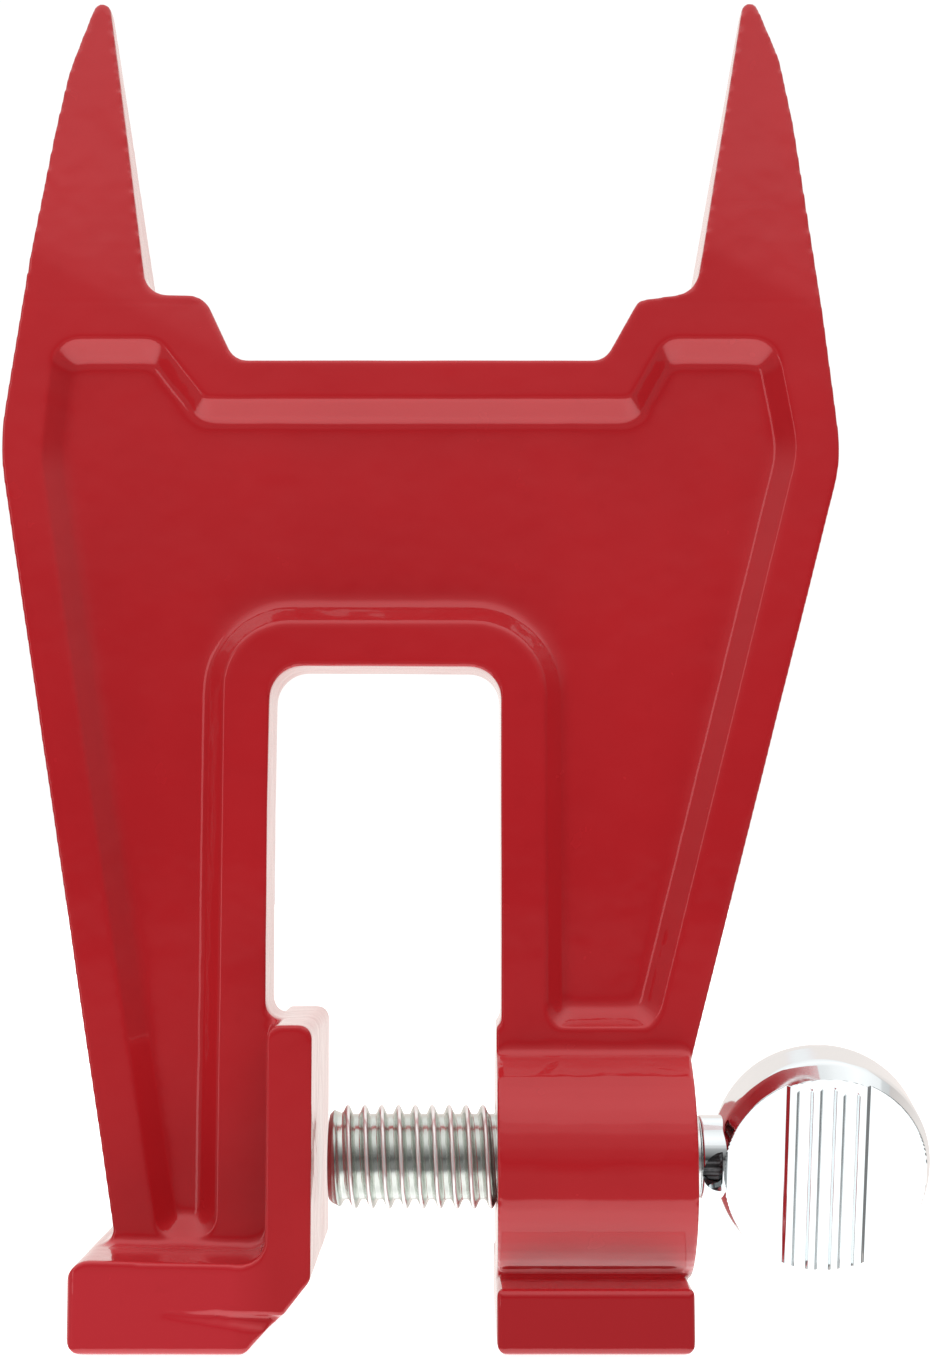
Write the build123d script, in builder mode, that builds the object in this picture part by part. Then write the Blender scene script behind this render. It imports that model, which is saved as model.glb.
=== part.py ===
from build123d import *
from math import cos, radians, sin
import os

os.makedirs("parts", exist_ok=True)

# Stump vise (filing vise for a chain saw bar), in millimetres.
# Frame: X along the clamp screw, from the fixed jaw towards the knob.
#        Y across the casting, 0 at the mid-plane, -Y is the front face.
#        Z up, 0 under the two feet, spikes at the top.

# ---- driving dimensions -------------------------------------------------
RIM_T = 9.0            # full thickness of the plate at its rims
FLOOR_T = 5.0          # full thickness of the web in the pocket floors
POCKET_BEVEL = 1.7     # run of the sloping pocket wall
JAW_W = 24.0           # full width (Y) of jaw, toe and foot
HEIGHT = 126.8         # spike tips above the feet
SPIKE_ROOT_Z = 96.0    # the spikes start to thin here
SPIKE_TIP_T = 2.2      # full thickness at the spike tips

THREAD_D = 9.525       # 3/8-16 UNC
PITCH = 25.4 / 16
THREAD_DEPTH = 0.83
AXIS_Z = 15.5          # height of the screw axis
BORE_CLEAR = 0.06      # radial running clearance, screw in boss
TIP_X = -12.55         # flat end of the screw
THREAD_END_X = 19.6    # the thread stops inside the boss
COLLAR_D = 7.5         # plain collar of the screw, between the thread and the knob
COLLAR_END_X = 21.9
TIP_CHAMFER = 0.85
SHANK_D = 5.5          # plain end of the screw, held in the knob
SHANK_END_X = 31.0
SHANK_CLEAR = 0.05

JAW_FACE_X = -13.4     # working face of the fixed jaw
JAW_BACK_X = -17.5
JAW_TOP_Z = 28.7
BOSS_R = 11.0
BOSS_X0, BOSS_X1 = 3.0, 20.95
BOSS_BLEND_R = 2.8
FOOT_X0, FOOT_X1 = 2.9, 20.35
FOOT_TOP_Z = 5.75

KNOB_D = 20.0
KNOB_T = 7.2
KNOB_X = 33.4          # centre of the knob's disc
KNOB_EDGE = 1.1
KNOB_TILT = 16.0       # the disc's front face leans down by this angle
NECK_D = 7.7
NECK_X0 = 22.0         # shoulder of the neck, clear of the boss when the jaws are shut
RIDGE_W = 0.78         # four grip ridges on each face of the disc
RIDGE_H = 0.3
RIDGE_PITCH = 2.13
VALLEY_DEPTH = 0.55    # of the three valleys between them, below the ridge tops
WINDOW_D = 3.9         # cast window over the screw's shank
WINDOW_X = 23.85

# ---- outline of the plate, X and Z with the corner radius ---------------
OUTLINE = [
    (-33.6, 6.4, 0.3),        # left leg, inside the toe block
    (-33.6, 8.2, 0.2),
    (-31.87, 8.2, 1.3),       # fillet between the leg and the toe's top
    (-43.95, 82.4, 22.0),     # widest point on the left
    (-39.55, 112.9, 30.0),
    (-38.35, 119.6, 20.0),
    (-36.05, HEIGHT, 0.88),   # left spike tip
    (-34.60, HEIGHT, 0.88),
    (-30.15, 96.95, 2.2),     # left spike root
    (-24.75, 96.90, 2.4),
    (-21.75, 90.49, 2.0),
    (13.35, 90.49, 1.9),      # top of the crossbar
    (16.60, 96.25, 1.0),
    (22.05, 97.05, 2.6),      # right spike root
    (27.30, HEIGHT, 0.83),    # right spike tip
    (28.60, HEIGHT, 0.83),
    (30.80, 121.0, 10.0),
    (31.95, 114.2, 30.0),
    (35.78, 81.07, 14.0),     # widest point on the right
    (21.35, 26.1, 1.0),
    (20.70, 23.5, 1.0),
    (20.70, 19.0, 0.5),
    (3.45, 19.0, 0.5),
    (3.45, 61.20, 2.9),       # window, upper right corner
    (-18.05, 61.32, 3.0),     # window, upper left corner
    (-18.25, 48.0, 20.0),
    (-18.25, 28.60, 1.5),     # fillet between the window and the jaw's top
    (-15.20, 28.60, 0.3),
    (-15.20, 6.4, 0.5),
]

# ---- recessed pocket, half way up its sloping wall -----------------------
POCKET = [
    (-27.33, 9.5, 1.3),
    (-39.10, 81.3, 12.0),
    (-38.15, 91.65, 2.0),
    (-29.35, 91.65, 1.7),
    (-24.85, 85.85, 1.6),
    (16.15, 85.85, 1.6),
    (19.45, 91.65, 1.7),
    (29.05, 91.65, 2.2),
    (30.80, 82.0, 8.0),
    (17.10, 28.3, 2.2),
    (8.43, 28.3, 1.8),
    (8.43, 66.30, 7.6),
    (-23.27, 66.30, 7.0),
    (-23.45, 9.5, 1.3),
]

# ---- fixed jaw, ledge and toe in one profile -----------------------------
JAW_TOE = [
    (-34.9, 0.0, 1.6),
    (-34.9, 8.30, 2.0),
    (JAW_BACK_X, 7.85, 2.0),
    (JAW_BACK_X, JAW_TOP_Z, 1.3),
    (JAW_FACE_X, JAW_TOP_Z, 1.2),
    (JAW_FACE_X, 6.45, 0.9),
    (-15.85, 3.40, 0.9),
    (-17.30, 2.15, 0.9),
    (-19.30, 0.0, 1.4),
]


# ---- wedge-shaped recess in both faces of the toe ------------------------
WEDGE = [
    (-29.40, 4.10),
    (-15.60, 3.45),
    (-15.60, 1.88),
    (-29.40, 3.98),
]
WEDGE_DEPTH = 1.0


def pts(table):
    return [(x, z) for x, z, r in table]


def radii(table):
    return [r for x, z, r in table]


# ==== vise body: one casting ==============================================
with BuildPart() as vise_body:
    # plate with the two spikes, drawn from the front
    with BuildSketch(Plane.XZ) as plate_profile:
        with BuildLine() as plate_line:
            FilletPolyline(*pts(OUTLINE), radius=radii(OUTLINE), close=True)
        make_face()
    extrude(amount=RIM_T / 2, both=True)

    # the spikes thin towards their tips
    with BuildSketch(Plane.YZ) as side_profile:
        with BuildLine() as side_line:
            Polyline(
                (-RIM_T / 2 - 1, 0),
                (-RIM_T / 2 - 1, SPIKE_ROOT_Z - 4),
                (-RIM_T / 2, SPIKE_ROOT_Z),
                (-SPIKE_TIP_T / 2, HEIGHT + 1),
                (SPIKE_TIP_T / 2, HEIGHT + 1),
                (RIM_T / 2, SPIKE_ROOT_Z),
                (RIM_T / 2 + 1, SPIKE_ROOT_Z - 4),
                (RIM_T / 2 + 1, 0),
                close=True,
            )
        make_face()
    extrude(amount=60, both=True, mode=Mode.INTERSECT)

    # pockets in both faces, with sloping walls
    for side in (-1, 1):
        with BuildSketch(Plane.XZ.offset(-side * RIM_T / 2)) as pocket_profile:
            with BuildLine() as pocket_line:
                FilletPolyline(*pts(POCKET), radius=radii(POCKET), close=True)
            make_face()
            offset(amount=-POCKET_BEVEL / 2, mode=Mode.REPLACE)
        extrude(amount=side * (RIM_T - FLOOR_T) / 2, mode=Mode.SUBTRACT)
        rim_face = vise_body.faces().filter_by(Plane.XZ).sort_by(Axis.Y)[0 if side < 0 else -1]
        chamfer(rim_face.inner_wires()[0].edges(), length=POCKET_BEVEL)

    # fixed jaw, ledge and toe, full width
    with BuildSketch(Plane.XZ) as jaw_profile:
        with BuildLine() as jaw_line:
            FilletPolyline(*pts(JAW_TOE), radius=radii(JAW_TOE), close=True)
        make_face()
    extrude(amount=JAW_W / 2, both=True)

    # wedge recess along the toe, open at the jaw's end
    for side in (-1, 1):
        with BuildSketch(Plane.XZ.offset(-side * JAW_W / 2)) as wedge_profile:
            with BuildLine() as wedge_line:
                Polyline(*WEDGE, close=True)
            make_face()
        extrude(amount=side * WEDGE_DEPTH, mode=Mode.SUBTRACT)

    # cylindrical boss blended into the plate above it
    with BuildSketch(Plane.YZ.offset(BOSS_X0)) as boss_profile:
        with Locations((0, AXIS_Z)):
            Circle(BOSS_R)
        with Locations((0, (AXIS_Z + 28.0) / 2)):
            Rectangle(RIM_T, 28.0 - AXIS_Z)
        fillet(boss_profile.vertices().filter_by(
            lambda v: AXIS_Z + 5 < v.Z < 27.5), radius=BOSS_BLEND_R)
    extrude(amount=BOSS_X1 - BOSS_X0)

    # foot under the boss
    with BuildSketch(Plane.XZ) as foot_profile:
        with BuildLine() as foot_line:
            FilletPolyline(
                (FOOT_X0, 0), (FOOT_X0, FOOT_TOP_Z), (FOOT_X1, FOOT_TOP_Z), (FOOT_X1, 0),
                radius=[1.1, 0.5, 0.5, 1.1], close=True)
        make_face()
    extrude(amount=JAW_W / 2, both=True)

    # bore of the boss
    with BuildSketch(Plane.YZ.offset(BOSS_X0 - 1)) as bore_profile:
        with Locations((0, AXIS_Z)):
            Circle(THREAD_D / 2 + BORE_CLEAR)
    extrude(amount=BOSS_X1 - BOSS_X0 + 2, mode=Mode.SUBTRACT)

vise_body.part.label = "vise_body"

# ==== clamp screw: threaded stud with a plain shank for the knob ==========
r_crest = THREAD_D / 2
r_root = r_crest - THREAD_DEPTH
thread_points = [(TIP_X, 0), (TIP_X, r_crest - TIP_CHAMFER), (TIP_X + TIP_CHAMFER, r_crest)]
x = TIP_X + TIP_CHAMFER + 0.12
while x + PITCH < THREAD_END_X - 1.0:
    thread_points += [
        (x, r_crest),
        (x + 0.62, r_root),
        (x + PITCH - 0.80, r_root),
        (x + PITCH - 0.18, r_crest),
    ]
    x += PITCH
thread_points += [
    (THREAD_END_X - 0.6, r_crest),
    (THREAD_END_X, COLLAR_D / 2),
    (COLLAR_END_X, COLLAR_D / 2),
    (COLLAR_END_X, SHANK_D / 2),
    (SHANK_END_X - 0.4, SHANK_D / 2),
    (SHANK_END_X, SHANK_D / 2 - 0.4),
    (SHANK_END_X, 0),
]

with BuildPart() as clamp_screw:
    with BuildSketch(Plane(origin=(0, 0, AXIS_Z), x_dir=(1, 0, 0), z_dir=(0, -1, 0))) as screw_profile:
        with BuildLine() as screw_line:
            Polyline(*thread_points, close=True)
        make_face()
    revolve(axis=Axis((0, 0, AXIS_Z), (1, 0, 0)))

clamp_screw.part.label = "clamp_screw"

# ==== thumb knob: thick disc on a neck, cast round the screw's shank =======
tilt = radians(KNOB_TILT)
face_normal = (0, -cos(tilt), -sin(tilt))
knob_plane = Plane(origin=(KNOB_X, 0, AXIS_Z), x_dir=(1, 0, 0), z_dir=face_normal)
window_plane = Plane(origin=(WINDOW_X, 0, AXIS_Z), x_dir=(1, 0, 0), z_dir=face_normal)

with BuildPart() as knob_disc:
    with BuildSketch(knob_plane) as disc_profile:
        Circle(KNOB_D / 2)
    extrude(amount=KNOB_T / 2, both=True)
    fillet(knob_disc.edges().filter_by(GeomType.CIRCLE), radius=KNOB_EDGE)
    # grip ridges across both faces: the face is cut down around them, and the
    # valleys between them are cut a little deeper
    for side in (-1, 1):
        with BuildSketch(knob_plane.offset(side * KNOB_T / 2)) as face_profile:
            Circle(KNOB_D / 2 + 1)
            with GridLocations(RIDGE_PITCH, 1, 4, 1):
                Rectangle(RIDGE_W, KNOB_D + 4, mode=Mode.SUBTRACT)
        extrude(amount=-side * RIDGE_H, mode=Mode.SUBTRACT)
        with BuildSketch(knob_plane.offset(side * KNOB_T / 2)) as valley_profile:
            with GridLocations(RIDGE_PITCH, 1, 3, 1):
                Rectangle(RIDGE_PITCH - RIDGE_W, KNOB_D + 2)
        extrude(amount=-side * VALLEY_DEPTH, mode=Mode.SUBTRACT)

with BuildPart() as thumb_knob:
    with BuildSketch(Plane.YZ.offset(NECK_X0)) as neck_profile:
        with Locations((0, AXIS_Z)):
            Circle(NECK_D / 2)
    extrude(amount=KNOB_X - 5.65 - NECK_X0)
    # window through the front of the neck
    with BuildSketch(window_plane.offset(1.0)) as window_profile:
        Circle(WINDOW_D / 2)
    extrude(amount=5.0, mode=Mode.SUBTRACT)
    add(knob_disc.part)
    # blind bore for the shank
    with BuildSketch(Plane.YZ.offset(NECK_X0 - 1)) as shank_bore:
        with Locations((0, AXIS_Z)):
            Circle(SHANK_D / 2 + SHANK_CLEAR)
    extrude(amount=SHANK_END_X + 0.25 - NECK_X0 + 1, mode=Mode.SUBTRACT)

thumb_knob.part.label = "thumb_knob"

for piece in (vise_body, clamp_screw, thumb_knob):
    export_step(piece.part, f"parts/{piece.part.label}.step")
    bb = piece.part.bounding_box()
    print(piece.part.label, len(piece.part.solids()), round(piece.part.volume, 1), bb.min, bb.max)
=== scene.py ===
import bmesh
import bpy
import math
import numpy as np
from mathutils import Matrix, Vector, noise


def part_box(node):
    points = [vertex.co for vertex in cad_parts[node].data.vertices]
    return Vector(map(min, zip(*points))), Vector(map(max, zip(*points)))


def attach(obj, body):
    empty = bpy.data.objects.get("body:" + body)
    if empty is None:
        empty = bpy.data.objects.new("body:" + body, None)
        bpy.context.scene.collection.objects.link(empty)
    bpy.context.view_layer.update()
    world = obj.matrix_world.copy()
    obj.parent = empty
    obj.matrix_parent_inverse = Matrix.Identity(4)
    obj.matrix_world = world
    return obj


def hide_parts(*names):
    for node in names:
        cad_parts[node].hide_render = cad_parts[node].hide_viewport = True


# Stump vise: soft-edged red casting, zinc-plated screw with a true helical thread, chrome knob.
# The frame is in metres; the mesh work below is done in millimetres and scaled back.

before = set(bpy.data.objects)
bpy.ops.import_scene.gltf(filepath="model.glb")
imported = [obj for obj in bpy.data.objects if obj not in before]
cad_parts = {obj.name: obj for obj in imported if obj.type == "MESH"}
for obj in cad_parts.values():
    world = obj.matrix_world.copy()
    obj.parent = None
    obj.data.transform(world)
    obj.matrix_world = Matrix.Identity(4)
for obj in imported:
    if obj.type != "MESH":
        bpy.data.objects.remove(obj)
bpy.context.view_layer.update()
scene = bpy.context.scene
MM = 0.001


# ------------------------------------------------------------------ mesh helpers
def link(ob):
    scene.collection.objects.link(ob)
    return ob


def node_mesh_mm(node):
    """A welded copy of a CAD node's mesh, in millimetres."""
    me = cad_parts[node].data.copy()
    me.materials.clear()
    me.transform(Matrix.Scale(1000.0, 4))
    bm = bmesh.new()
    bm.from_mesh(me)
    bmesh.ops.remove_doubles(bm, verts=bm.verts, dist=2e-4)
    bm.to_mesh(me)
    bm.free()
    return me


def softened(me, voxel, iterations, name):
    """Remeshes to an even grid and relaxes it, which rounds every edge like a thick coat on a casting."""
    work = link(bpy.data.objects.new(name + "_work", me))
    r = work.modifiers.new("remesh", "REMESH")
    r.mode = "VOXEL"
    r.voxel_size = voxel
    r.adaptivity = 0.0
    s = work.modifiers.new("relax", "SMOOTH")
    s.factor = 0.5
    s.iterations = iterations
    dg = bpy.context.evaluated_depsgraph_get()
    out = bpy.data.meshes.new_from_object(work.evaluated_get(dg))
    bpy.data.objects.remove(work)
    out.name = name
    return out


def coords(me):
    co = np.empty(len(me.vertices) * 3, np.float32)
    me.vertices.foreach_get("co", co)
    return co.reshape(-1, 3).astype(float)


def set_coords(me, co):
    me.vertices.foreach_set("co", np.ascontiguousarray(co, np.float32).ravel())
    me.update()


def normals(me):
    n = np.empty(len(me.vertices) * 3, np.float32)
    me.vertex_normals.foreach_get("vector", n)
    return n.reshape(-1, 3).astype(float)


def field(co, size, seed):
    """Smooth noise in about -1..1 with features of that size in millimetres."""
    off = Vector((17.3 * seed, -9.1 * seed, 5.7 * seed))
    return np.array([noise.noise(Vector(p) / size + off) for p in co])


def finish_piece(me, name, body, nodes, material):
    """Scales the mesh to metres, keeps it inside the nodes' CAD boxes and puts it on its body."""
    lo = np.min([list(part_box(n)[0]) for n in nodes], axis=0) * 1000
    hi = np.max([list(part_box(n)[1]) for n in nodes], axis=0) * 1000
    set_coords(me, np.clip(coords(me), lo, hi) * MM)
    me.polygons.foreach_set("use_smooth", [True] * len(me.polygons))
    me.update()
    me.materials.clear()
    me.materials.append(material)
    ob = link(bpy.data.objects.new(name, me))
    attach(ob, body)
    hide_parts(*nodes)
    return ob


def smoothstep(x, a, b):
    t = np.clip((x - a) / (b - a), 0, 1)
    return t * t * (3 - 2 * t)


# ------------------------------------------------------------------ material helpers
class Nodes:
    def __init__(self, name):
        self.mat = bpy.data.materials.new(name)
        self.mat.use_nodes = True
        self.t = self.mat.node_tree
        self.bsdf = self.t.nodes["Principled BSDF"]
        self.obj = self.t.nodes.new("ShaderNodeTexCoord").outputs["Object"]

    def new(self, kind, **props):
        n = self.t.nodes.new(kind)
        for k, v in props.items():
            setattr(n, k, v)
        return n

    def link(self, a, b):
        self.t.links.new(a, b)

    def noise(self, scale, detail=3.0, rough=0.5, vector=None, distortion=0.0):
        n = self.new("ShaderNodeTexNoise")
        n.inputs["Scale"].default_value = scale
        n.inputs["Detail"].default_value = detail
        n.inputs["Roughness"].default_value = rough
        n.inputs["Distortion"].default_value = distortion
        self.link(vector or self.obj, n.inputs["Vector"])
        return n.outputs["Fac"]

    def ramp(self, fac, stops):
        n = self.new("ShaderNodeValToRGB")
        el = n.color_ramp.elements
        while len(el) < len(stops):
            el.new(0.5)
        for e, (pos, col) in zip(el, stops):
            e.position = pos
            e.color = (*col, 1.0) if isinstance(col, tuple) else (col, col, col, 1.0)
        self.link(fac, n.inputs["Fac"])
        return n.outputs["Color"]

    def remap(self, fac, a, b, lo, hi):
        n = self.new("ShaderNodeMapRange")
        n.inputs["From Min"].default_value = a
        n.inputs["From Max"].default_value = b
        n.inputs["To Min"].default_value = lo
        n.inputs["To Max"].default_value = hi
        self.link(fac, n.inputs["Value"])
        return n.outputs["Result"]

    def mix(self, fac, a, b):
        n = self.new("ShaderNodeMix", data_type="RGBA")
        for sock, v in ((n.inputs[0], fac), (n.inputs[6], a), (n.inputs[7], b)):
            if isinstance(v, (float, int)):
                sock.default_value = v if sock.type == "VALUE" else (v, v, v, 1.0)
            elif isinstance(v, tuple):
                sock.default_value = (*v, 1.0)
            else:
                self.link(v, sock)
        return n.outputs[2]

    def math(self, op, a, b=None):
        n = self.new("ShaderNodeMath", operation=op)
        for i, v in enumerate((a, b)):
            if v is None:
                continue
            if isinstance(v, (float, int)):
                n.inputs[i].default_value = v
            else:
                self.link(v, n.inputs[i])
        return n.outputs[0]

    def bump(self, height, distance, strength=1.0, normal=None):
        n = self.new("ShaderNodeBump")
        n.inputs["Distance"].default_value = distance
        n.inputs["Strength"].default_value = strength
        self.link(height, n.inputs["Height"])
        if normal is not None:
            self.link(normal, n.inputs["Normal"])
        return n.outputs["Normal"]


def red_paint():
    m = Nodes("red_paint")
    b = m.bsdf
    # thick gloss enamel: slow drift in shade, finer mottling
    drift = m.noise(38.0, 3.0, 0.55)
    mottle = m.noise(420.0, 4.0, 0.6)
    base = m.ramp(drift, [(0.30, (0.520, 0.0158, 0.0211)), (0.52, (0.558, 0.0178, 0.0235)), (0.75, (0.596, 0.0200, 0.0259))])
    # painted light: the toe's colour is made a lighter red to stand in for light it reflects
    sep = m.new("ShaderNodeSeparateXYZ")
    m.link(m.obj, sep.inputs[0])
    toe_painted_light = m.math("MULTIPLY", m.remap(sep.outputs["X"], -0.0165, -0.0205, 0.0, 1.0), m.remap(sep.outputs["Z"], 0.0095, 0.0070, 0.0, 1.0))
    base = m.mix(toe_painted_light, base, (0.636, 0.0240, 0.0350))
    # painted shade: the foot under the boss is made a darker red to stand in for the shade it sits in
    foot_painted_shade = m.math("MULTIPLY", m.remap(sep.outputs["X"], 0.0000, 0.0020, 0.0, 1.0), m.remap(sep.outputs["Z"], 0.0062, 0.0054, 0.0, 1.0))
    base = m.mix(foot_painted_shade, base, (0.485, 0.0120, 0.0175))
    dark = m.remap(mottle, 0.58, 0.80, 0.0, 0.16)
    m.link(m.mix(dark, base, (0.42, 0.008, 0.012)), b.inputs["Base Color"])
    b.inputs["Metallic"].default_value = 0.0
    m.link(m.remap(m.noise(300.0, 3.0), 0.3, 0.75, 0.20, 0.28), b.inputs["Roughness"])
    b.inputs["IOR"].default_value = 1.5
    # the pigment layer under the clear coat gives a red sheen of its own
    b.inputs["Specular IOR Level"].default_value = 0.90
    b.inputs["Specular Tint"].default_value = (1.0, 0.10, 0.12, 1.0)
    b.inputs["Coat Weight"].default_value = 1.0
    b.inputs["Coat Roughness"].default_value = 0.035
    b.inputs["Coat IOR"].default_value = 1.5
    # the casting's slow waves, ripples where the enamel ran, and faint orange peel
    wave = m.noise(150.0, 2.0, 0.5)
    ripple = m.noise(430.0, 1.0, 0.4)
    peel = m.noise(1100.0, 1.0, 0.4)
    n1 = m.bump(wave, 0.00022, 0.55)
    n1b = m.bump(ripple, 0.000045, 0.50, n1)
    n2 = m.bump(peel, 0.000012, 0.25, n1b)
    n3 = m.bump(m.noise(3200.0, 2.0, 0.5), 0.000005, 0.15, n2)
    m.link(n3, b.inputs["Normal"])
    m.link(n2, b.inputs["Coat Normal"])
    return m.mat


def zinc_steel():
    m = Nodes("zinc_steel")
    b = m.bsdf
    cloud = m.noise(260.0, 4.0, 0.6)
    zinc = m.ramp(cloud, [(0.28, (0.66, 0.695, 0.645)), (0.52, (0.76, 0.79, 0.745)), (0.74, (0.83, 0.85, 0.81))])
    sep = m.new("ShaderNodeSeparateXYZ")
    m.link(m.obj, sep.inputs["Vector"])
    # painted highlight and shade: the thread crests are coloured bright, the roots and flanks a darker, duller grey
    dz = m.math("SUBTRACT", sep.outputs["Z"], 0.0155)
    r2 = m.math("ADD", m.math("MULTIPLY", sep.outputs["Y"], sep.outputs["Y"]), m.math("MULTIPLY", dz, dz))
    radius = m.math("SQRT", r2)
    crest = m.remap(radius, 0.00462, 0.00472, 0.0, 1.0)
    root = m.remap(radius, 0.00394, 0.00400, 0.40, 0.0)
    flank = m.remap(radius, 0.00405, 0.00440, 0.0, 0.60)
    body_colour = m.mix(flank, m.mix(root, zinc, (0.42, 0.445, 0.41)), (0.34, 0.405, 0.365))
    zinc_with_painted_light = m.mix(crest, body_colour, (0.93, 0.935, 0.92))
    # the plain collar behind the thread is turned smooth and bright
    collar = m.remap(sep.outputs["X"], 0.0188, 0.0195, 0.0, 1.0)
    zinc_with_painted_light = m.mix(collar, zinc_with_painted_light, (0.90, 0.90, 0.885))
    # the plain knurled end under the knob, seen through the neck's window, is coloured near-black
    shank = m.remap(sep.outputs["X"], 0.02191, 0.02196, 0.0, 1.0)
    steel = m.ramp(m.noise(1500.0, 3.0), [(0.3, (0.045, 0.045, 0.047)), (0.7, (0.13, 0.13, 0.135))])
    m.link(m.mix(shank, zinc_with_painted_light, steel), b.inputs["Base Color"])
    m.link(m.mix(shank, m.remap(crest, 0.0, 1.0, 0.90, 0.55), 0.95), b.inputs["Metallic"])
    rough = m.remap(m.noise(900.0, 4.0, 0.6), 0.3, 0.75, 0.16, 0.27)
    m.link(m.mix(shank, rough, 0.42), b.inputs["Roughness"])
    # fine rolling marks round the thread, and plating grain
    lines = m.new("ShaderNodeTexWave", wave_type="BANDS", bands_direction="X")
    lines.inputs["Scale"].default_value = 2600.0
    lines.inputs["Distortion"].default_value = 2.5
    lines.inputs["Detail"].default_value = 2.0
    m.link(m.obj, lines.inputs["Vector"])
    n1 = m.bump(lines.outputs["Fac"], 0.000006, 0.35)
    n2 = m.bump(m.noise(2400.0, 3.0), 0.000012, 0.30, n1)
    m.link(n2, b.inputs["Normal"])
    return m.mat


def knob_chrome():
    m = Nodes("knob_chrome")
    b = m.bsdf
    cloud = m.noise(170.0, 3.0, 0.5)
    m.link(m.ramp(cloud, [(0.3, (0.825, 0.868, 0.882)), (0.7, (0.86, 0.895, 0.905))]), b.inputs["Base Color"])
    b.inputs["Metallic"].default_value = 1.0
    m.link(m.remap(m.noise(1100.0, 3.0), 0.3, 0.8, 0.035, 0.085), b.inputs["Roughness"])
    # cast surface under the plating, and hairline scratches
    stretched = m.new("ShaderNodeMapping")
    stretched.inputs["Scale"].default_value = (1.0, 1.0, 14.0)
    stretched.inputs["Rotation"].default_value = (0.0, 0.7, 0.0)
    m.link(m.obj, stretched.inputs["Vector"])
    scratch = m.noise(900.0, 2.0, 0.5, stretched.outputs["Vector"])
    n1 = m.bump(m.noise(330.0, 2.0, 0.4), 0.000030, 0.30)
    n2 = m.bump(scratch, 0.000002, 0.20, n1)
    m.link(n2, b.inputs["Normal"])
    return m.mat


# ------------------------------------------------------------------ vise body
VOXEL = 0.22


def relaxed(me, iterations, factor=0.5):
    """The same mesh after that many smoothing steps; the input stays as it is."""
    work = link(bpy.data.objects.new("relax_work", me.copy()))
    s = work.modifiers.new("relax", "SMOOTH")
    s.factor = factor
    s.iterations = iterations
    dg = bpy.context.evaluated_depsgraph_get()
    out = bpy.data.meshes.new_from_object(work.evaluated_get(dg))
    co = coords(out)
    bpy.data.objects.remove(work)
    bpy.data.meshes.remove(out)
    return co


def rounded(co, a, b, r, axis_a, axis_b, sign_a, sign_b):
    """Rolls the edge where distances a and b from two faces both reach 0 over to radius r."""
    u, v = r - a, r - b
    dist = np.hypot(u, v)
    hit = (u > 0) & (v > 0) & (dist > r)
    k = np.where(hit, r / np.maximum(dist, 1e-9), 1.0)
    out = co.copy()
    out[:, axis_a] += np.where(hit, sign_a * (u - u * k), 0)
    out[:, axis_b] += np.where(hit, sign_b * (v - v * k), 0)
    return out


def taper_half(x, z):
    """Half thickness of the spikes: they thin beyond a bend line that runs down to the right."""
    x0 = np.where(x < 0, -31.0, 27.6)
    z0 = np.where(x < 0, 95.4, 98.9)
    d = (x - x0) * 0.475 + (z - z0) * 0.88
    soft = 0.5 * (d + np.sqrt(d * d + 0.35))
    return np.maximum(4.5 - 0.131 * soft, 1.0)


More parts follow.
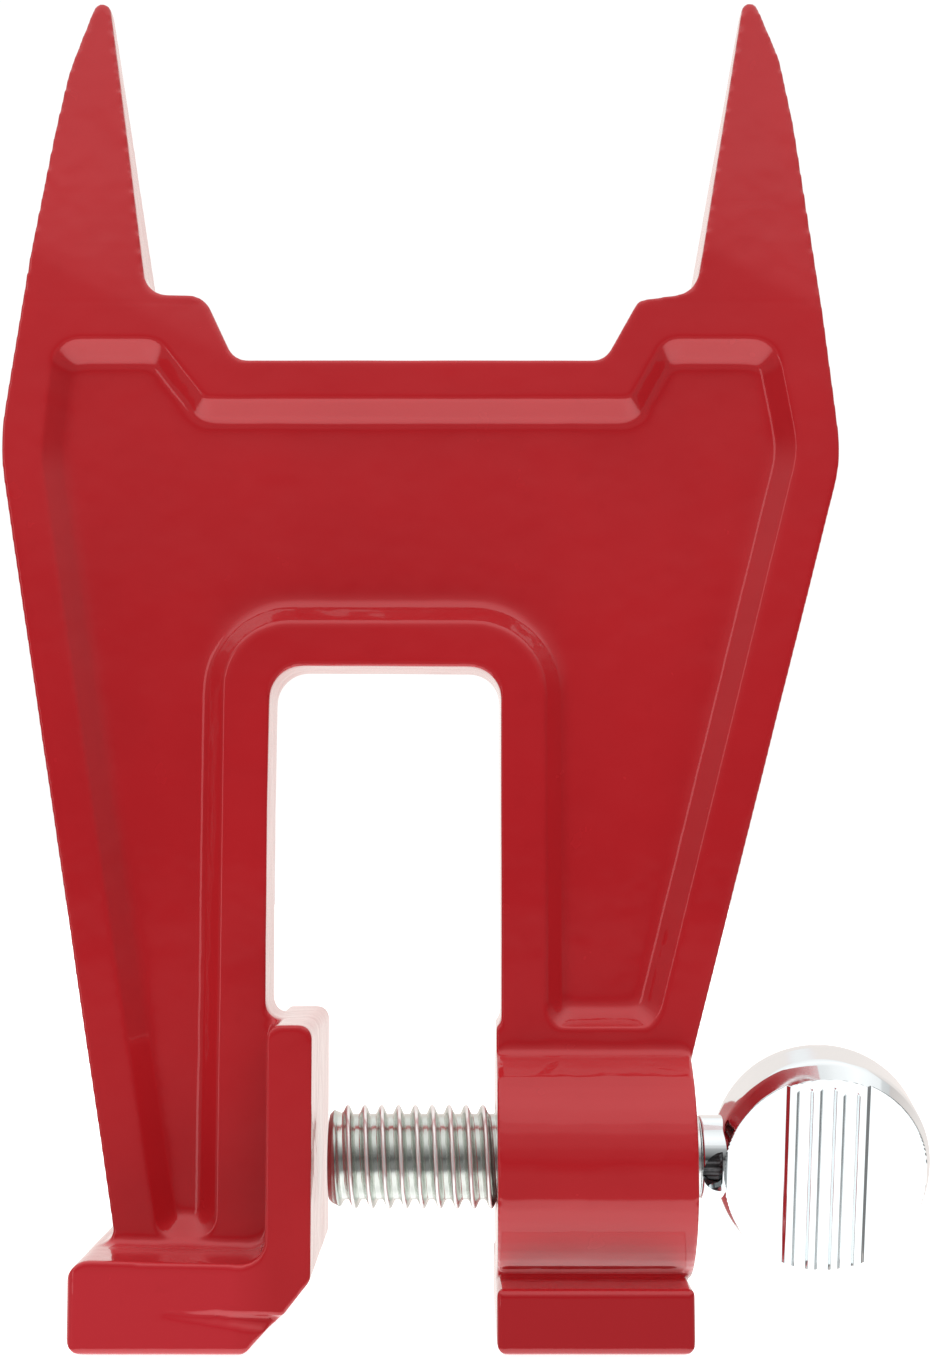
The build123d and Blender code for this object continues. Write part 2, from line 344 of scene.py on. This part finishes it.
def build_body():
    me = node_mesh_mm("vise_body")
    co = coords(me)
    # the wedge recess in the toe has a ramp for a floor: flush at its lower edge, deepest under its upper lip
    x, z, ay = co[:, 0], co[:, 2], np.abs(co[:, 1])
    floor_pts = (x > -29.6) & (x < -15.0) & (z > 1.7) & (z < 4.25) & (np.abs(ay - 11.0) < 0.05)
    z_low = 3.98 - (x + 29.4) * 0.1522
    depth = 0.16 * smoothstep(x, -29.0, -25.5) + 0.34 * np.clip(z - z_low, 0, None)
    co[:, 1] = np.where(floor_pts, np.sign(co[:, 1]) * (12.0 - depth), co[:, 1])
    set_coords(me, co)
    bm = bmesh.new()
    bm.from_mesh(me)
    bmesh.ops.remove_doubles(bm, verts=bm.verts, dist=2e-3)
    # behind the plate the jaw's upper corner is full, so its top runs straight into the window's wall
    corner = bmesh.ops.create_cube(bm, size=1.0)["verts"]
    for v in corner:
        v.co = Vector((-16.65 + v.co.x * 1.7, 8.0 + v.co.y * 7.9, 27.75 + v.co.z * 1.88))
    bm.to_mesh(me)
    bm.free()
    me = softened(me, VOXEL, 7, "casting")
    co = coords(me)
    # inside corners fill up into soft fillets; the bore and the wedge recess stay open
    n = normals(me)
    lo, hi = (np.array(c) * 1000 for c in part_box("clamp_screw"))
    axis_z = (lo[2] + hi[2]) / 2
    fill = np.maximum(((relaxed(me, 46) - co) * n).sum(1), 0)
    bore = np.hypot(co[:, 1], co[:, 2] - axis_z)
    fill *= np.where(co[:, 0] > 0, smoothstep(bore, 5.6, 6.8), 1)
    slot = smoothstep(co[:, 0], -31, -29.5) * (1 - smoothstep(co[:, 2], 4.9, 5.9)) * (1 - smoothstep(co[:, 0], -15.5, -14))
    fill *= 1 - 0.7 * slot
    set_coords(me, co + n * (1.15 * fill)[:, None])
    me_co = relaxed(me, 2)
    co = me_co
    # spike faces
    x, z = co[:, 0], co[:, 2]
    cad_half = np.where(z < 96, 4.5, 4.5 - (z - 96) * 3.4 / 31.8)
    ratio = taper_half(x, z) / cad_half
    on_spike = np.maximum(smoothstep(-x, 19.5, 23.5), smoothstep(x, 11.5, 15.5))
    w = smoothstep(z, 88.5, 90.5) * on_spike
    co[:, 1] *= 1 + (ratio - 1) * w
    set_coords(me, co)
    # wider round-overs on the toe's and foot's bottom and left edges
    ay = 12.0 - np.abs(co[:, 1])
    co = rounded(co, ay, co[:, 2], 0.85, 1, 2, np.sign(co[:, 1]) * -1, 1)
    ay = 12.0 - np.abs(co[:, 1])
    co = rounded(co, ay, co[:, 0] + 34.9, 0.95, 1, 0, np.sign(co[:, 1]) * -1, 1)
    low = (co[:, 2] < 7.2) & (co[:, 0] > 1.5)
    for x_face, sign in ((2.9, 1), (20.35, -1)):
        ay = np.where(low, 12.0 - np.abs(co[:, 1]), 9.0)
        co = rounded(co, ay, sign * (co[:, 0] - x_face), 0.55, 1, 0, np.sign(co[:, 1]) * -1, sign)
    ay = np.where(low, 12.0 - np.abs(co[:, 1]), 9.0)
    co = rounded(co, ay, 5.75 - co[:, 2], 0.7, 1, 2, np.sign(co[:, 1]) * -1, -1)
    set_coords(me, co)
    # slow waves of a sand casting under thick enamel, inwards only
    n = normals(me)
    d = -0.030 + 0.026 * field(co, 8.5, 1) + 0.010 * field(co, 3.4, 2)
    co += n * np.minimum(d, 0)[:, None]
    set_coords(me, co)
    return me


# ------------------------------------------------------------------ clamp screw
def thread_depth(phase):
    """Depth below the crest over one pitch, phase 0..1 with the crest at 0: rounded crest, V flanks, rounded root."""
    t = np.abs((phase + 0.5) % 1.0 - 0.5) * 2
    return smoothstep(t, 0.09, 0.76) ** 0.95


def build_stud():
    lo, hi = (Vector(c) * 1000 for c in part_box("clamp_screw"))
    axis_z = (lo.z + hi.z) / 2
    r_crest = (hi.z - lo.z) / 2
    pitch, depth, chamfer = 25.4 / 16, 0.83, 0.85
    tip_x, thread_end, end_x, collar_r, shank_r, shank_end = lo.x, 19.6, 21.9, 3.75, 2.75, hi.x
    around = 96
    xs = [tip_x, tip_x + 0.02]
    x = tip_x + 0.06
    while x < thread_end:
        xs.append(x)
        x += 0.085
    while x < end_x - 0.1:
        xs.append(x)
        x += 0.25
    xs += [end_x - 0.01, end_x, end_x + 0.04]
    x = end_x + 0.3
    while x < shank_end - 0.45:
        xs.append(x)
        x += 0.3
    xs += [shank_end - 0.4, shank_end - 0.2, shank_end - 0.05, shank_end]
    xs = np.array(xs)
    ang = np.arange(around) * 2 * math.pi / around
    X, A = np.meshgrid(xs, ang, indexing="ij")
    # right-hand helix: a crest moves towards +X as the angle from +Y to +Z grows
    crest0 = -10.47  # a crest's x on the front (-Y) side
    phase = (X - crest0) / pitch - (A - math.pi) / (2 * math.pi)
    r = r_crest - depth * thread_depth(phase)
    run_in = smoothstep(X, tip_x + chamfer * 0.2, tip_x + chamfer * 1.9)
    r = np.minimum(r, r_crest - chamfer + (X - tip_x) * 1.0)
    r = np.where(X < tip_x + chamfer * 1.2, np.minimum(r, r_crest - chamfer + (X - tip_x)), r)
    r = r * run_in + (1 - run_in) * np.minimum(r_crest - chamfer + (X - tip_x) * 1.0, r_crest - depth * 0.55)
    r = np.where(X <= tip_x + 1e-6, r_crest - chamfer - 0.10, r)
    # run-out onto the plain collar
    out = smoothstep(X, thread_end - 1.3, thread_end)
    r = r * (1 - out) + collar_r * out
    # straight knurl on the shank
    knurl = 0.5 + 0.5 * np.cos(A * 26)
    shank = shank_r - 0.16 + 0.15 * knurl
    end_round = np.clip((X - (shank_end - 0.4)) / 0.4, 0, 1)
    shank = shank - 0.4 * end_round**2
    r = np.where(X >= end_x + 0.01, shank, r)
    Y = r * np.cos(A)
    Z = axis_z + r * np.sin(A)
    verts = np.stack([X, Y, Z], -1).reshape(-1, 3).tolist()
    rows = len(xs)
    faces = []
    for i in range(rows - 1):
        for j in range(around):
            k = (j + 1) % around
            faces.append((i * around + j, i * around + k, (i + 1) * around + k, (i + 1) * around + j))
    # slightly dished tip: two inner rings and a centre
    def cap(row_x, base, r0, inward, flip):
        start = len(verts)
        rings = [base]
        for rr, dx in ((r0 * 0.93, 0.0), (r0 * 0.55, inward), (r0 * 0.2, inward * 1.3)):
            rings.append(len(verts))
            for a in ang:
                verts.append([row_x + dx, rr * math.cos(a), axis_z + rr * math.sin(a)])
        centre = len(verts)
        verts.append([row_x + inward * 1.3, 0.0, axis_z])
        for p, q in zip(rings, rings[1:]):
            for j in range(around):
                k = (j + 1) % around
                f = (p + j, q + j, q + k, p + k)
                faces.append(f if flip else f[::-1])
        for j in range(around):
            k = (j + 1) % around
            f = (rings[-1] + j, centre, rings[-1] + k)
            faces.append(f if flip else f[::-1])
    cap(tip_x, 0, r_crest - chamfer - 0.10, 0.05, False)
    cap(shank_end, (rows - 1) * around, shank_r - 0.55, -0.03, True)
    me = bpy.data.meshes.new("stud")
    me.from_pydata(verts, [], faces)
    bm = bmesh.new()
    bm.from_mesh(me)
    bmesh.ops.recalc_face_normals(bm, faces=bm.faces)
    bm.to_mesh(me)
    bm.free()
    return me


# ------------------------------------------------------------------ knob
def build_knob():
    """A thick round disc with grip ridges on both faces, on a short neck with a window over the shank."""
    lo, hi = (Vector(c) * 1000 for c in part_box("thumb_knob"))
    axis_z = (lo.z + hi.z) / 2
    rim_r, thick, tilt = 10.0, 7.2, math.radians(16)
    cx = hi.x - rim_r
    nrm = np.array([0, -math.cos(tilt), -math.sin(tilt)])
    up = np.array([0, -math.sin(tilt), math.cos(tilt)])
    pitch = 2.13

    def ridges(x, y):
        # a low plateau with three steep-sided valleys, which leaves four ridges standing
        h = 0.29 * (1 - smoothstep(np.abs(x), 3.46, 3.92))
        for k, top in ((-1, 7.80), (0, 7.95), (1, 7.45)):
            d = np.hypot(x - k * pitch, np.maximum(y - top, 0))
            t = np.clip((d - 0.50) / 0.27, 0, 1)
            h = h - 0.34 * (1 - 0.55 * t - 0.45 * t * t * (3 - 2 * t))
        return h

    def depth(x, y):
        edge = 0.30 + 0.47 * smoothstep(y, -9.5, 0.5) + 0.12 * smoothstep(y, 1.5, 9.5)
        r = np.hypot(x, y)
        rim = thick / 2 - 2.2 * np.maximum(r - (rim_r - edge), 0) - 0.22 * np.clip((r - rim_r + 0.16) / 0.16, 0, 1) ** 2
        face = thick / 2 - 0.3 + ridges(x, y)
        # a soft minimum keeps the corner between bevel and face slightly round
        k = 0.05
        t = np.clip(0.5 + 0.5 * (rim - face) / k, 0, 1)
        return np.where(r > rim_r - 1e-6, rim, rim * (1 - t) + face * t - k * t * (1 - t) * 0.5)

    side_x = rim_r * np.sin(np.radians(np.arange(-90, -24.01, 1.5)))
    mid_x = [np.arange(-4.04, 4.05, 0.085)]
    for c in (-1, 0, 1):
        for flank in (-0.62, 0.62):
            mid_x.append(c * pitch + flank + np.linspace(-0.09, 0.09, 10))
    mid_x += [np.arange(3.38, 4.0, 0.035), -np.arange(3.38, 4.0, 0.035)]
    mid_x = np.unique(np.round(np.concatenate(mid_x), 3))
    mid_x = mid_x[np.concatenate([[True], np.diff(mid_x) > 0.006])]
    xs = np.concatenate([side_x[1:], mid_x, -side_x[::-1][:-1]])
    ts = np.unique(np.round(np.concatenate([np.sin(np.radians(np.linspace(-90, 90, 181))), np.linspace(0.72, 0.93, 64)]), 6))
    ts = ts[np.concatenate([[True], np.diff(ts) > 2e-5])]
    X, T = np.meshgrid(xs, ts, indexing="ij")
    Y = T * np.sqrt(np.maximum(rim_r**2 - X**2, 0))
    cols, rows = X.shape
    verts, faces = [], []

    def add(pts):
        start = len(verts)
        verts.extend(np.asarray(pts).reshape(-1, 3).tolist())
        return start

    def place(x, y, d):
        return np.array([cx, 0, axis_z]) + x[..., None] * np.array([1, 0, 0]) + y[..., None] * up + d[..., None] * nrm

    # the back face is the front face turned half a turn about the screw
    front = add(place(X, Y, depth(X, Y)))
    back = add(place(X, -Y, -depth(X, Y)))
    for base, flip in ((front, False), (back, False)):
        for i in range(cols - 1):
            for j in range(rows - 1):
                a, b = base + i * rows + j, base + (i + 1) * rows + j
                faces.append((a, b, b + 1, a + 1))
    # rim band between the two faces: the outline runs along the columns' ends and through two pole points
    edge_front = [front + i * rows + rows - 1 for i in range(cols)]
    edge_front_low = [front + i * rows for i in range(cols)]
    edge_back = [back + i * rows for i in range(cols)]
    edge_back_low = [back + i * rows + rows - 1 for i in range(cols)]
    poles = []
    for sx in (1, -1):
        x, y = np.array([sx * rim_r]), np.array([0.0])
        d = depth(x, y)
        poles.append((add(place(x, y, d)), add(place(x, y, -d))))
    loop_f = edge_front + [poles[0][0]] + edge_front_low[::-1] + [poles[1][0]]
    loop_b = edge_back + [poles[0][1]] + edge_back_low[::-1] + [poles[1][1]]
    m = len(loop_f)
    rings = [loop_f]
    pf = np.array([verts[i] for i in loop_f])
    pb = np.array([verts[i] for i in loop_b])
    for k in range(1, 6):
        q = add(pf + (pb - pf) * k / 6)
        rings.append(list(range(q, q + m)))
    rings.append(loop_b)
    for p, q in zip(rings, rings[1:]):
        for j in range(m):
            k = (j + 1) % m
            faces.append((p[j], p[k], q[k], q[j]))
    # close the slivers between the end columns and the poles
    for base, pole_set in ((front, 0), (back, 1)):
        for i, pole in ((cols - 1, poles[0][pole_set]), (0, poles[1][pole_set])):
            for j in range(rows - 1):
                faces.append((base + i * rows + j, base + i * rows + j + 1, pole))

    # neck: a tube with a D-shaped window, its far end hidden inside the disc
    neck_x0, neck_r, bore_r = lo.x, 3.85, 2.80
    win_x, win_r, win_end = neck_x0 + 1.98, 1.95, neck_x0 + 1.86
    a_n = math.pi + tilt

    def outer_r(x, rel):
        lip = np.clip((neck_x0 + 0.28 - x) / 0.28, 0, 1)
        ro = neck_r - 0.28 * (1 - np.sqrt(np.maximum(1 - lip**2, 0)))
        limit = neck_r - (neck_r - 3.05) * smoothstep(x, win_end + 0.02, win_end + 0.75)
        return np.minimum(ro, limit / np.maximum(np.abs(np.cos(rel)), 0.02))

    def half_open(x):
        w = np.sqrt(np.maximum(win_r**2 - (np.minimum(x, win_end) - win_x) ** 2, 0))
        return np.arcsin(w / neck_r)

    def ring_point(x, rel, r):
        return [x, r * math.cos(rel + a_n), axis_z + r * math.sin(rel + a_n)]

    t_end = math.acos((win_x - win_end) / win_r)
    before = [neck_x0 + v for v in (0.0, 0.008)]
    curve = [win_x - win_r * math.cos(t) for t in np.linspace(0.0, t_end, 56)]
    after = list(np.concatenate([win_end + np.array([0.03, 0.07, 0.12, 0.18]), np.arange(win_end + 0.25, neck_x0 + 4.6, 0.10)]))
    nx = before + curve + after
    first_open, last_open = len(before), len(before) + len(curve) - 1
    na, patch = 260, 64
    around = []
    for i, x in enumerate(nx):
        th = float(half_open(np.array(x))) if i > first_open else 0.0
        rel = th + (2 * math.pi - 2 * th) * np.arange(na + 1) / na
        ro = outer_r(np.array(x), rel)
        around.append((add([ring_point(x, a, b) for a, b in zip(rel, ro)]), add([ring_point(x, a, bore_r) for a in rel])))
    for i in range(len(nx) - 1):
        (o0, i0), (o1, i1) = around[i], around[i + 1]
        for j in range(na):
            faces.append((o0 + j, o0 + j + 1, o1 + j + 1, o1 + j))
            faces.append((i0 + j, i1 + j, i1 + j + 1, i0 + j + 1))
        if first_open <= i < last_open:
            for j in (0, na):
                faces.append((o0 + j, o1 + j, i1 + j, i0 + j))
    for (o, q) in (around[0], around[-1]):
        for j in range(na):
            faces.append((o + j, o + j + 1, q + j + 1, q + j))
    th = float(half_open(np.array(win_end)))
    rows_p = []
    for x in nx[last_open:]:
        rel = -th + 2 * th * np.arange(patch + 1) / patch
        ro = outer_r(np.array(x), rel)
        rows_p.append((add([ring_point(x, a, b) for a, b in zip(rel, ro)]), add([ring_point(x, a, bore_r) for a in rel])))
    for (o0, i0), (o1, i1) in zip(rows_p, rows_p[1:]):
        for j in range(patch):
            faces.append((o0 + j, o0 + j + 1, o1 + j + 1, o1 + j))
            faces.append((i0 + j, i1 + j, i1 + j + 1, i0 + j + 1))
    for (o, q) in (rows_p[0], rows_p[-1]):
        for j in range(patch):
            faces.append((o + j, o + j + 1, q + j + 1, q + j))
    me = bpy.data.meshes.new("knob")
    me.from_pydata(verts, [], faces)
    bm = bmesh.new()
    bm.from_mesh(me)
    bmesh.ops.remove_doubles(bm, verts=bm.verts, dist=1e-5)
    bmesh.ops.recalc_face_normals(bm, faces=bm.faces)
    bm.to_mesh(me)
    bm.free()
    # faint unevenness of a plated casting
    co = coords(me)
    n = normals(me)
    d = -0.006 + 0.006 * field(co, 4.5, 5)
    keep = smoothstep(co[:, 0], neck_x0 + 2.4, neck_x0 + 3.2)
    co += n * (np.minimum(d, 0) * keep)[:, None]
    set_coords(me, co)
    return me


def crisp(ob, degrees):
    """Keeps corners sharper than that angle as real corners in the shading."""
    ob.data.set_sharp_from_angle(angle=math.radians(degrees))


paint, zinc, chrome = red_paint(), zinc_steel(), knob_chrome()
body = finish_piece(build_body(), "casting", "vise", ["vise_body"], paint)
stud = finish_piece(build_stud(), "threaded_stud", "knob", ["clamp_screw"], zinc)
knob = finish_piece(build_knob(), "grip_knob", "knob", ["thumb_knob"], chrome)
crisp(knob, 38)
for name, material in (("vise_body", paint), ("clamp_screw", zinc), ("thumb_knob", chrome)):
    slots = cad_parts[name].material_slots
    for s in slots:
        s.material = material


# ------------------------------------------------------------------ stage and light
def emission_mat(name, colour, strength, diffuse):
    mat = bpy.data.materials.new(name)
    mat.use_nodes = True
    b = mat.node_tree.nodes["Principled BSDF"]
    b.inputs["Base Color"].default_value = (*diffuse, 1.0)
    b.inputs["Roughness"].default_value = 0.9
    b.inputs["Specular IOR Level"].default_value = 0.0
    b.inputs["Emission Color"].default_value = (*colour, 1.0)
    b.inputs["Emission Strength"].default_value = strength
    return mat


def camera_only(ob):
    ob.visible_diffuse = False
    ob.visible_glossy = False
    ob.visible_transmission = False
    ob.visible_volume_scatter = False
    ob.visible_shadow = False


def disc(name, radius, z, mat):
    bm = bmesh.new()
    bmesh.ops.create_circle(bm, cap_ends=True, cap_tris=False, segments=128, radius=radius)
    me = bpy.data.meshes.new(name)
    bm.to_mesh(me)
    bm.free()
    me.materials.append(mat)
    ob = link(bpy.data.objects.new(name, me))
    ob.location = (0, 0, z)
    return ob


floor = disc("floor", 1.6, -0.0002, emission_mat("floor_white", (1, 1, 1), 0.90, (0.85, 0.85, 0.85)))
camera_only(floor)
bm = bmesh.new()
bmesh.ops.create_uvsphere(bm, u_segments=64, v_segments=32, radius=4.0)
me = bpy.data.meshes.new("backdrop")
bm.to_mesh(me)
bm.free()
me.materials.append(emission_mat("backdrop_white", (1, 1, 1), 1.05, (0, 0, 0)))
backdrop = link(bpy.data.objects.new("backdrop", me))
camera_only(backdrop)

world = bpy.data.worlds.new("studio")
scene.world = world
world.use_nodes = True
wt = world.node_tree
bg = wt.nodes["Background"]
tc = wt.nodes.new("ShaderNodeTexCoord")
sep = wt.nodes.new("ShaderNodeSeparateXYZ")
wt.links.new(tc.outputs["Generated"], sep.inputs["Vector"])


def wramp(out, stops):
    n = wt.nodes.new("ShaderNodeValToRGB")
    el = n.color_ramp.elements
    while len(el) < len(stops):
        el.new(0.5)
    for e, (p, v) in zip(el, stops):
        e.position = p
        e.color = (v, v, v, 1)
    wt.links.new(out, n.inputs["Fac"])
    return n.outputs["Color"]


def wmap(out, a, b):
    n = wt.nodes.new("ShaderNodeMapRange")
    n.inputs["From Min"].default_value = a
    n.inputs["From Max"].default_value = b
    wt.links.new(out, n.inputs["Value"])
    return n.outputs["Result"]


up = wramp(wmap(sep.outputs["Z"], -1, 1), [
    (0.0, 1.30), (0.03, 1.60), (0.146, 1.55), (0.206, 1.25), (0.243, 0.22), (0.413, 0.25), (0.47, 0.16), (0.50, 0.03),
    (0.544, 0.08), (0.604, 0.22), (0.735, 0.44), (0.768, 0.70), (0.804, 0.76), (0.818, 1.02), (0.850, 1.06), (0.924, 1.20), (0.983, 1.05), (1.0, 0.90)])
back = wramp(wmap(sep.outputs["Y"], -1, 1), [(0.0, 0.0), (0.54, 0.0), (0.62, 0.62), (0.80, 0.95), (1.0, 1.0)])
# the wall behind the object is a warm white
warm = wt.nodes.new("ShaderNodeMix")
warm.data_type = "RGBA"
warm.blend_type = "MULTIPLY"
warm.inputs[0].default_value = 1.0
wt.links.new(back, warm.inputs[6])
warm.inputs[7].default_value = (1.0, 0.915, 0.875, 1.0)
lighter = wt.nodes.new("ShaderNodeMix")
lighter.data_type = "RGBA"
lighter.blend_type = "LIGHTEN"
lighter.inputs[0].default_value = 1.0
wt.links.new(up, lighter.inputs[6])
wt.links.new(warm.outputs[2], lighter.inputs[7])
wt.links.new(lighter.outputs[2], bg.inputs["Color"])
bg.inputs["Strength"].default_value = 1.0


def area(name, loc, target, sx, sy, radiance, roll=0.0):
    data = bpy.data.lights.new(name, "AREA")
    data.shape = "RECTANGLE"
    data.size, data.size_y = sx, sy
    data.energy = radiance * sx * sy * math.pi
    ob = link(bpy.data.objects.new(name, data))
    ob.location = loc
    aim = (Vector(target) - Vector(loc)).to_track_quat("-Z", "Y")
    ob.rotation_mode = "QUATERNION"
    ob.rotation_quaternion = aim @ Matrix.Rotation(roll, 3, "Z").to_quaternion()
    ob.visible_camera = False
    return ob


fill = area("front_fill", (0.0, -1.1, 0.30), (0, 0, 0.06), 1.2, 1.2, 0.45)
fill.visible_glossy = False
over = area("top_fill", (0.0, -0.45, 0.70), (0, 0, 0.06), 0.9, 0.6, 0.5)
over.visible_glossy = False
area("left_softbox", (-0.70, -0.62, 0.16), (0, 0, 0.06), 0.22, 0.7, 1.1)

# a small white card's worth of light on the ledge under the boss: one for its gloss, a weaker one for its body
for name, radiance, glossy in (("ledge_card_gloss", 1.10, True), ("ledge_card_fill", 1.00, False)):
    card = area(name, (0.01163, -0.0087, 0.00588), (0.01163, -0.0087, 1.0), 0.0170, 0.0058, radiance)
    card.rotation_mode = "XYZ"
    card.rotation_euler = (math.pi, 0.0, 0.0)
    card.visible_glossy = glossy
    card.visible_diffuse = not glossy

# ------------------------------------------------------------------ camera
cam = bpy.data.cameras.new("camera")
cam.sensor_width = 36.0
cam.lens = 53.63
cam.clip_start, cam.clip_end = 0.01, 20.0
cam_ob = link(bpy.data.objects.new("camera", cam))
cam_ob.location = (0.00018, -0.194, 0.0438)
cam_ob.rotation_euler = (math.radians(94.8), 0.0, 0.0)
scene.camera = cam_ob

scene.view_settings.view_transform = "Standard"
scene.view_settings.look = "None"
scene.view_settings.exposure = 0.0
scene.view_settings.gamma = 1.0
